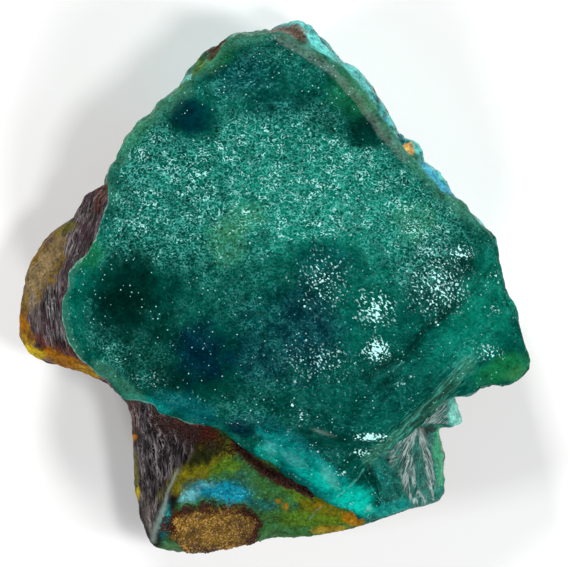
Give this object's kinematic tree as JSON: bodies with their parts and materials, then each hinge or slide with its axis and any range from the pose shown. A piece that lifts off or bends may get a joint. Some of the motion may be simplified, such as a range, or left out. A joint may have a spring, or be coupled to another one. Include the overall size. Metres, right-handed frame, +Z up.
{
  "type": "smithsonite specimen",
  "caption": "Hand specimen of blue-green smithsonite: a druzy, waxy crust over brown iron-stained matrix, lying on its back on a flat broken base.",
  "frame": {"origin": "middle of the stone's bounding box, on the surface that it rests on", "axes": "+Z up, the way the green crust faces; +X towards the crust's pointed right corner; +Y towards the stone's narrow top"},
  "size_m": [0.0511, 0.0529, 0.02],
  "materials": {
    "stone": "waxy translucent crust with a sugary sparkle, over dull iron-stained matrix"
  },
  "bodies": {
    "root": {"stone": "stone"}
  },
  "joints": []
}
